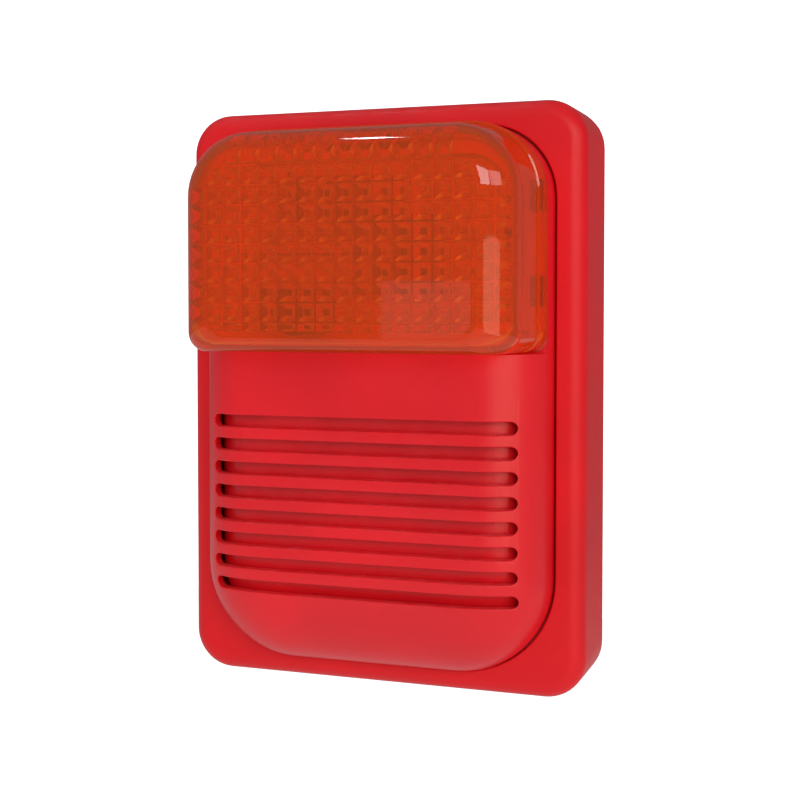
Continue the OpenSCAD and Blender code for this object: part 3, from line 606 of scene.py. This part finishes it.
# %% Lens wall
LENS_W = LENS_HIGH.x * 2
LENS_TOP = LENS_HIGH.y
LENS_Y0 = LENS_LOW.y
LENS_FRONT = LENS_HIGH.z
LENS_FOOT = LEDGE + 0.8
LENS_WALL = 1.8
LENS_EDGE = 8
LENS_DRAFT = 1.4
SIDE_DRAFT = 1.2        # what the sides lean in more than the top
SHOULDER = 37           # where the straight sides end and the round edge begins


def fillet(z, front, r):
    """How far an edge of radius r has rolled in at a level."""
    rise = min(max(z - (front - r), 0), r)
    return r - sqrt(max(r * r - rise * rise, 0))


def lens_ring(side, low, z):
    r_top = max(14.8 - side, 2.5)
    lean = SIDE_DRAFT * min((z - LENS_FOOT) / 11.2, 1)
    return at(rounded(LENS_W - 2 * side - 2 * lean, LENS_Y0 + low, LENS_TOP - side, r_top, 4), z)


# each level is (inset of top and sides, inset of the lower side, depth)
outer = [(0, 0, LENS_FOOT), (0, 0, 29.9), (0.12, 0, 30.1), (0.5, 0, 30.2), (0.62, 0, 30.45),
         (LENS_DRAFT, 0, SHOULDER)]
for i in range(1, 24):
    a = radians(90 * i / 23)
    z = SHOULDER + LENS_EDGE * sin(a)
    outer.append((LENS_DRAFT + LENS_EDGE * (1 - cos(a)), fillet(z, LENS_FRONT, 3), z))
inner_r = LENS_EDGE - LENS_WALL
inner_front = LENS_FRONT - LENS_WALL
inner_draft = LENS_DRAFT + LENS_WALL
inner = [(LENS_WALL, LENS_WALL, LENS_FOOT), (inner_draft, LENS_WALL, SHOULDER)]
for a in steps[1:]:
    z = SHOULDER + inner_r * sin(a)
    inner.append((inner_draft + inner_r * (1 - cos(a)), LENS_WALL + fillet(z, inner_front, 1.5), z))
lens = loft("lens_cap", [lens_ring(*level) for level in inner[::-1] + outer])
print("lens wall of", len(inner), "levels inside and", len(outer), "outside")

# %% Pyramids
PITCH_X = 4.05
PITCH_Y = 3.93


def prism(centre, across, up, inward, w, h):
    """A pyramid with a flat top; its foot reaches a little into the wall."""
    rings = []
    for share, rise in ((0.46, -0.4), (0.46, 0), (0.17, 1.6)):
        ring = []
        for a, b in ((-1, -1), (1, -1), (1, 1), (-1, 1)):
            p = centre + across * (a * share * w) + up * (b * share * h) + inward * rise
            ring.append(tuple(p))
        rings.append(ring)
    return loft("prism", rings)


X, Y, Z = Vector((1, 0, 0)), Vector((0, 1, 0)), Vector((0, 0, 1))
columns = [-27.1 + PITCH_X * i for i in range(14)]
rows = [LENS_Y0 + 6.1 + PITCH_Y * (j + 0.5) for j in range(8)]
prisms = []
for x in columns:
    for y in rows:
        prisms.append(prism(Vector((x, y, inner_front)), X, -Y, -Z, PITCH_X, PITCH_Y))
    prisms.append(prism(Vector((x, LENS_Y0 + 5.1, inner_front)), X, -Y, -Z, PITCH_X, 2))
print(len(prisms), "pyramids on the front")

# %% [markdown]
# Two more rows climb round the inside of the top and of each side. Their angles keep them
# apart, because pyramids that run into each other would spoil the boolean that adds them all.

# %% Pyramids in the round edges
round_x = LENS_W / 2 - LENS_EDGE - LENS_DRAFT - SIDE_DRAFT
round_y = LENS_TOP - LENS_EDGE - LENS_DRAFT
for turned in (radians(68), radians(31)):
    inward = Vector((0, -cos(turned), -sin(turned)))
    for x in columns[1:-1]:
        spot = Vector((x, round_y, SHOULDER)) - inward * inner_r
        prisms.append(prism(spot, X, inward.cross(X), inward, PITCH_X, PITCH_Y))
for s, turned in ((-1, radians(56)), (-1, radians(18)), (1, radians(70)), (1, radians(33))):
    inward = Vector((-s * cos(turned), 0, -sin(turned)))
    for y in rows[:-1]:
        spot = Vector((s * round_x, y, SHOULDER)) - inward * inner_r
        prisms.append(prism(spot, inward.cross(Y), -Y, inward, PITCH_X, PITCH_Y))
print(len(prisms), "pyramids in all")
combine(lens, [joined("prisms", prisms)], "UNION")

# %% [markdown]
# Four snap tabs hold the lens in the cover. Each is a tongue with a hook behind the cover's
# wall and a root that thickens it where it meets the lens.

# %% Lens tabs
TAB_BACK = 20.1
TAB_PARTS = ((0.7, 0.7, TAB_BACK, LENS_FOOT + 2),       # tongue: place, half thickness, back, front
             (1.05, 0.7, TAB_BACK, TAB_BACK + 1),       # hook
             (1.6, 0.8, LENS_FOOT, LENS_FOOT + 2))      # root
tabs = []
for s in (-1, 1):
    for y in TAB_YS:
        for out, half, back, front in TAB_PARTS:
            x = s * (TAB_X + out)
            tabs.append(block((x - half, y - TAB_W / 2, back), (x + half, y + TAB_W / 2, front)))
combine(lens, tabs, "UNION")
lens.name = "lens_cap"
stand_in(soft_shading(lens, 30), "front", "amber_lens", "lens")

# %% [markdown]
# ## Shared surface effects
# Four effects return in many finishes: the fine grain that a mould leaves, edges that handling
# has rubbed pale, dust that settles on what faces up, and the streaks of brushed metal. Each is
# a node group with named inputs and outputs, and every material sets its own values on it.

# %% Group builder
def effect(name, inputs, outputs):
    """An empty shader group with float inputs {name: value} and float outputs."""
    group = bpy.data.node_groups.new(name, "ShaderNodeTree")
    for label, value in inputs.items():
        socket = group.interface.new_socket(name=label, in_out="INPUT", socket_type="NodeSocketFloat")
        socket.default_value = value
    for label in outputs:
        group.interface.new_socket(name=label, in_out="OUTPUT", socket_type="NodeSocketFloat")
    start, end = group.nodes.new("NodeGroupInput"), group.nodes.new("NodeGroupOutput")
    return group, start, end


def add(tree, kind, links=(), **values):
    """A node with its values set and its inputs linked: links are (input, output socket) pairs."""
    node = tree.nodes.new("ShaderNode" + kind)
    for key, value in values.items():
        setattr(node, key, value)
    for socket, source in links:
        if hasattr(source, "is_linked"):
            tree.links.new(source, node.inputs[socket])
        else:
            node.inputs[socket].default_value = source
    return node


def noise(tree, place, scale, detail=3, rough=0.5):
    node = add(tree, "TexNoise", [("Vector", place), ("Scale", scale)])
    node.inputs["Detail"].default_value = detail
    node.inputs["Roughness"].default_value = rough
    return node.outputs["Fac"]


def ranged(tree, value, low, high, to_low=0.0, to_high=1.0):
    node = add(tree, "MapRange", [("Value", value), ("From Min", low), ("From Max", high),
                                  ("To Min", to_low), ("To Max", to_high)])
    return node.outputs["Result"]


def maths(tree, how, a, b=0.5):
    return add(tree, "Math", [(0, a), (1, b)], operation=how).outputs[0]


# %% Mould grain and rubbed edges
def mould_grain():
    """Fine grain for the bump, slow flow patches and rare specks."""
    group, start, end = effect("mould_grain", {"Scale": 2600.0, "Flow": 45.0},
                               ["Height", "Patches", "Specks"])
    place = add(group, "TexCoord").outputs["Object"]
    fine = noise(group, place, start.outputs["Scale"], 2, 0.6)
    waves = noise(group, place, start.outputs["Flow"], 2, 0.4)
    spots = add(group, "TexVoronoi", [("Vector", place), ("Scale", 900.0)]).outputs["Distance"]
    height = maths(group, "ADD", fine, maths(group, "MULTIPLY", waves, 0.8))
    group.links.new(height, end.inputs["Height"])
    group.links.new(ranged(group, waves, 0.35, 0.65), end.inputs["Patches"])
    group.links.new(ranged(group, spots, 0.12, 0.02), end.inputs["Specks"])
    return group


def rubbed_edges():
    """A mask on sharp outward bends, broken up by noise."""
    group, start, end = effect("rubbed_edges", {"Sharpness": 0.53, "Amount": 1.0}, ["Mask"])
    place = add(group, "TexCoord").outputs["Object"]
    bend = add(group, "NewGeometry").outputs["Pointiness"]
    worn = ranged(group, bend, start.outputs["Sharpness"], 0.62)
    uneven = ranged(group, noise(group, place, 160.0, 4), 0.35, 0.7)
    mask = maths(group, "MULTIPLY", maths(group, "MULTIPLY", worn, uneven), start.outputs["Amount"])
    group.links.new(mask, end.inputs["Mask"])
    return group


# %% Settled dust and brushed streaks
def settled_dust():
    """A patchy mask on what faces up."""
    group, start, end = effect("settled_dust", {"Amount": 0.2}, ["Mask"])
    place = add(group, "TexCoord").outputs["Object"]
    normal = add(group, "NewGeometry").outputs["Normal"]
    up = ranged(group, add(group, "SeparateXYZ", [(0, normal)]).outputs["Z"], 0.25, 1.0)
    patchy = ranged(group, noise(group, place, 240.0, 5, 0.65), 0.3, 0.75)
    mask = maths(group, "MULTIPLY", maths(group, "MULTIPLY", up, patchy), start.outputs["Amount"])
    group.links.new(mask, end.inputs["Mask"])
    return group


def brushed_streaks():
    """Noise drawn out along one direction."""
    group, start, end = effect("brushed_streaks", {"Length": 40.0, "Across": 2500.0}, ["Height", "Tone"])
    place = add(group, "TexCoord").outputs["Object"]
    across = start.outputs["Across"]
    stretch = add(group, "CombineXYZ", [("X", start.outputs["Length"]), ("Y", across), ("Z", across)])
    spread = add(group, "VectorMath", [(0, place), (1, stretch.outputs[0])], operation="MULTIPLY")
    streaks = noise(group, spread.outputs[0], 1.0, 3)
    group.links.new(streaks, end.inputs["Height"])
    group.links.new(ranged(group, streaks, 0.3, 0.7), end.inputs["Tone"])
    return group


GRAIN, EDGES, DUST, BRUSH = mould_grain(), rubbed_edges(), settled_dust(), brushed_streaks()
print(len(bpy.data.node_groups), "shared effects")

# %% [markdown]
# ## Finishes
# Every finish starts from one Principled shader. Grain feeds its bump, patches vary its colour
# and roughness a little, edges are rubbed paler and dust lightens what faces up. The finishes
# differ only in their values, as real mouldings differ in resin and mould.

# %% Moulded plastic
def use(tree, group, **values):
    node = tree.nodes.new("ShaderNodeGroup")
    node.node_tree = group
    for key, value in values.items():
        node.inputs[key].default_value = value
    return node.outputs


def mixed(tree, share, a, b):
    node = add(tree, "Mix", data_type="RGBA")
    for socket, value in ((0, share), (6, a), (7, b)):
        if hasattr(value, "is_linked"):
            tree.links.new(value, node.inputs[socket])
        else:
            node.inputs[socket].default_value = value
    return node.outputs[2]


def shader(name):
    material = bpy.data.materials.new(name)
    material.use_nodes = True
    tree = material.node_tree
    return material, tree, tree.nodes["Principled BSDF"]


def tint(colour, factor, lift=0.0):
    return tuple(min(c * factor + lift, 1) for c in colour[:3]) + (1,)


def bumped(tree, surface, height, strength, distance):
    bump = add(tree, "Bump", [("Height", height), ("Strength", strength), ("Distance", distance)])
    tree.links.new(bump.outputs[0], surface.inputs["Normal"])


def moulded(name, colour, rough, grain=0.25, scale=2600.0, wear=0.35, dust=0.08, **extra):
    """Coloured plastic with a fine mould grain, rubbed edges and a little dust."""
    material, tree, surface = shader(name)
    effects = use(tree, GRAIN, Scale=scale)
    rubbed = use(tree, EDGES, Amount=wear)["Mask"]
    dusty = use(tree, DUST, Amount=dust)["Mask"]
    base = mixed(tree, effects["Patches"], tint(colour, 0.94), tint(colour, 1.05))
    base = mixed(tree, rubbed, base, tint(colour, 1.1, 0.06))
    base = mixed(tree, dusty, base, (0.6, 0.57, 0.53, 1))
    tree.links.new(base, surface.inputs["Base Color"])
    roughness = ranged(tree, effects["Patches"], 0, 1, rough - 0.03, rough + 0.04)
    tree.links.new(roughness, surface.inputs["Roughness"])
    bumped(tree, surface, effects["Height"], grain, 0.00006)
    for label, value in extra.items():
        surface.inputs[label.replace("_", " ")].default_value = value
    return material


# %% Clear amber and glass
def clear(name, colour, rough, ior=1.49, through=1.0):
    """Clear plastic or glass; faint flow lines from moulding bend what shines through it."""
    material, tree, surface = shader(name)
    effects = use(tree, GRAIN, Scale=900.0, Flow=30.0)
    tree.links.new(mixed(tree, effects["Patches"], tint(colour, 0.97), tint(colour, 1.0)),
                   surface.inputs["Base Color"])
    tree.links.new(ranged(tree, effects["Specks"], 0, 1, rough, rough + 0.05), surface.inputs["Roughness"])
    bumped(tree, surface, effects["Patches"], 0.12, 0.00004)
    surface.inputs["Transmission Weight"].default_value = through
    surface.inputs["IOR"].default_value = ior
    passing = add(tree, "BsdfTransparent", [("Color", tint(colour, 0.95))])
    shadow = add(tree, "LightPath").outputs["Is Shadow Ray"]
    both = add(tree, "MixShader", [(0, shadow), (1, surface.outputs[0]), (2, passing.outputs[0])])
    tree.links.new(both.outputs[0], tree.nodes["Material Output"].inputs["Surface"])
    return material


# %% Metals
def metal(name, colour, rough, across=2500.0):
    material, tree, surface = shader(name)
    streaks = use(tree, BRUSH, Across=across)
    rubbed = use(tree, EDGES, Amount=0.5)["Mask"]
    base = mixed(tree, streaks["Tone"], tint(colour, 0.88), tint(colour, 1.06))
    tree.links.new(mixed(tree, rubbed, base, tint(colour, 1.1, 0.1)), surface.inputs["Base Color"])
    roughness = ranged(tree, streaks["Tone"], 0, 1, rough - 0.05, rough + 0.08)
    tree.links.new(roughness, surface.inputs["Roughness"])
    bumped(tree, surface, streaks["Height"], 0.15, 0.00003)
    surface.inputs["Metallic"].default_value = 1.0
    return material


# %% Circuit boards and striped parts
def board(name, colour, line):
    """Solder resist with traces under it and bare pads through it."""
    material, tree, surface = shader(name)
    place = add(tree, "TexCoord").outputs["Object"]
    flat = add(tree, "VectorMath", [(0, place), (1, (1, 0, 1))], operation="MULTIPLY").outputs[0]
    facing = add(tree, "Mapping", [(0, place), ("Rotation", (pi / 2, 0, 0))]).outputs[0]
    traces = add(tree, "TexBrick", [("Vector", facing), ("Scale", 260.0), ("Mortar Size", 0.06)])
    pads = add(tree, "TexVoronoi", [("Vector", flat), ("Scale", 230.0), ("Randomness", 0.35)])
    pad = maths(tree, "LESS_THAN", pads.outputs["Distance"], 0.16)
    base = mixed(tree, traces.outputs["Fac"], tint(colour, 1.0), line)
    base = mixed(tree, pad, base, (0.72, 0.7, 0.66, 1))
    tree.links.new(base, surface.inputs["Base Color"])
    tree.links.new(ranged(tree, pad, 0, 1, 0.42, 0.25), surface.inputs["Roughness"])
    tree.links.new(pad, surface.inputs["Metallic"])
    bumped(tree, surface, traces.outputs["Fac"], 0.3, 0.00008)
    return material


def striped(name, colour, stripes):
    """A lacquered body with colour bands along its length."""
    material, tree, surface = shader(name)
    place = add(tree, "TexCoord").outputs["Object"]
    bands = add(tree, "TexWave", [("Vector", place), ("Scale", 150.0), ("Distortion", 0.0)])
    ramp = add(tree, "ValToRGB", [(0, bands.outputs["Fac"])])
    ramp.color_ramp.interpolation = "CONSTANT"
    ramp.color_ramp.elements[0].color = stripes[0]
    ramp.color_ramp.elements[1].position = 0.12
    ramp.color_ramp.elements[1].color = tint(colour, 1)
    dusty = use(tree, DUST, Amount=0.1)["Mask"]
    tree.links.new(mixed(tree, dusty, ramp.outputs[0], (0.6, 0.57, 0.53, 1)), surface.inputs["Base Color"])
    effects = use(tree, GRAIN, Scale=1800.0)
    tree.links.new(ranged(tree, effects["Patches"], 0, 1, 0.3, 0.45), surface.inputs["Roughness"])
    bumped(tree, surface, effects["Height"], 0.2, 0.00005)
    return material


# %% [markdown]
# One finish belongs to every material slot of the record. Colours are linear values, darker
# than they look, and the two reds differ only a little, as two mouldings of one resin do.

# %% One finish for every slot
finishes = {
    "red_housing": moulded("red_housing", (0.78, 0.006, 0.012), 0.42, 0.3, Specular_IOR_Level=0.3),
    "red_cover": moulded("red_cover", (0.8, 0.006, 0.014), 0.34, 0.25, Specular_IOR_Level=0.45),
    "amber_lens": clear("amber_lens", (1.0, 0.15, 0.003), 0.03, through=0.76),
    "black_plastic": moulded("black_plastic", (0.022, 0.022, 0.025), 0.45),
    "grey_plastic": moulded("grey_plastic", (0.12, 0.12, 0.13), 0.5),
    "rubber": moulded("rubber", (0.02, 0.02, 0.02), 0.75, 0.5, 1400.0, 0.1, 0.25),
    "red_silicone": moulded("red_silicone", (0.6, 0.03, 0.02), 0.6, 0.3, 1800.0, 0.1),
    "white_board": board("white_board", (0.75, 0.75, 0.7), (0.6, 0.6, 0.55, 1)),
    "steel": metal("steel", (0.6, 0.61, 0.62), 0.3),
    "brass": metal("brass", (0.76, 0.55, 0.22), 0.28),
    "ceramic": moulded("ceramic", (0.72, 0.69, 0.6), 0.4, 0.15, 3200.0, 0.1),
    "board": board("board", (0.012, 0.13, 0.045), (0.03, 0.24, 0.09, 1)),
    "terminal_green": moulded("terminal_green", (0.03, 0.24, 0.09), 0.45),
    "white_plastic": moulded("white_plastic", (0.82, 0.82, 0.79), 0.35, 0.15),
    "clear_glass": clear("clear_glass", (0.97, 0.98, 1.0), 0.02, 1.47),
    "reflector": metal("reflector", (0.86, 0.86, 0.87), 0.12, 1200.0),
    "transformer": striped("transformer", (0.05, 0.022, 0.012), [(0.3, 0.11, 0.03, 1)]),
    "capacitor_black": moulded("capacitor_black", (0.018, 0.018, 0.02), 0.28, 0.1, 1500.0),
    "capacitor_blue": moulded("capacitor_blue", (0.015, 0.03, 0.13), 0.28, 0.1, 1500.0),
    "capacitor_green": moulded("capacitor_green", (0.01, 0.14, 0.04), 0.2, 0.2, 500.0),
    "resistor": striped("resistor", (0.55, 0.4, 0.22), [(0.25, 0.04, 0.02, 1)]),
    "lead_red": moulded("lead_red", (0.55, 0.02, 0.02), 0.35, 0.1),
    "dip_red": moulded("dip_red", (0.5, 0.02, 0.02), 0.4),
    "trimmer_blue": moulded("trimmer_blue", (0.03, 0.07, 0.35), 0.38),
}
print(len(finishes), "finishes")

# %% Paint every piece
stand_ins = {"housing": housing, "front_cover": cover, "sound_baffle": grid, "lens": lens}
parts = frame["record"]["subparts"]
for part in parts:
    piece = stand_ins.get(part["node"], nodes[part["node"]])
    piece.data.materials.clear()
    piece.data.materials.append(finishes[part["material_slot"]])
    if part["node"] not in stand_ins:
        piece.data.shade_smooth()
        piece.data.set_sharp_from_angle(angle=radians(35))
print(len(parts), "pieces painted")

# %% [markdown]
# ## Light and stage
# Red plastic needs broad soft light, and the polished lens needs something bright to mirror.
# Two panels on the right with a gap between them stand for a window, with a warm strip below
# them. A small lamp overhead draws one thin glint on the lens's upper edge, a wide key on the
# left fills the front, and a pale stage far behind and below keeps the ground white.

# %% Stage
def stage_piece(name, low, high, shade):
    """A glowing slab: white to the camera, and of a given shade in reflections."""
    material, tree, surface = shader(name)
    mottled = noise(tree, add(tree, "TexCoord").outputs["Object"], 3.0)
    seen = add(tree, "LightPath").outputs["Is Camera Ray"]
    pale = mixed(tree, mottled, (0.93, 0.93, 0.93, 1), (0.96, 0.96, 0.96, 1))
    dim = (shade, shade, shade, 1)
    tree.links.new(mixed(tree, seen, dim, pale), surface.inputs["Base Color"])
    surface.inputs["Roughness"].default_value = 0.9
    tree.links.new(mixed(tree, seen, dim, (1, 1, 1, 1)), surface.inputs["Emission Color"])
    surface.inputs["Emission Strength"].default_value = 0.9
    piece = block(low, high)
    piece.name = name
    piece.data.materials.append(material)
    return piece


stage_piece("floor", (-4000, -420, -4000), (4000, -410, 4000), 0.45)
stage_piece("backdrop", (-4000, -410, -1500), (4000, 3000, -1490), 0.14)
world = bpy.data.worlds.new("room")
bpy.context.scene.world = world
world.use_nodes = True
sky = world.node_tree.nodes["Background"]
sky.inputs["Color"].default_value = (0.9, 0.92, 1.0, 1)
sky.inputs["Strength"].default_value = 0.22
print("stage of floor and backdrop, in a dim room")


# %% Lights
AIM = upright(0, 0, 25)


def soft_light(name, azimuth, elevation, width, height, brightness, colour=(1, 1, 1), distance=1.4):
    """A panel facing the unit; azimuth counts from straight ahead towards the right."""
    data = bpy.data.lights.new(name, "AREA")
    data.shape = "RECTANGLE"
    data.size, data.size_y = width, height
    data.color = colour
    data.energy = brightness * width * height * pi
    lamp = bpy.data.objects.new(name, data)
    bpy.context.scene.collection.objects.link(lamp)
    a, e = radians(azimuth), radians(elevation)
    towards = Vector((sin(a) * cos(e), -cos(a) * cos(e), sin(e)))
    lamp.location = AIM + towards * distance
    lamp.rotation_euler = towards.to_track_quat("Z", "Y").to_euler()
    lamp.visible_transmission = False       # no sparks through the pyramids
    return lamp


soft_light("window_near", 26, 18, 0.6, 0.42, 5.6)
soft_light("window_far", 57, 18, 0.75, 0.42, 3.0)
soft_light("window_low", 44, -3, 1.2, 0.36, 2.0, (1, 0.8, 0.55))
soft_light("overhead", -70, 70, 0.1, 0.05, 45)
soft_light("key", -35, 38, 2.0, 1.3, 0.82).visible_glossy = False
soft_light("card", -16.5, 0, 0.12, 0.1, 0.4)
bpy.context.scene.view_settings.view_transform = "Standard"
print(len(bpy.data.lights), "lights")
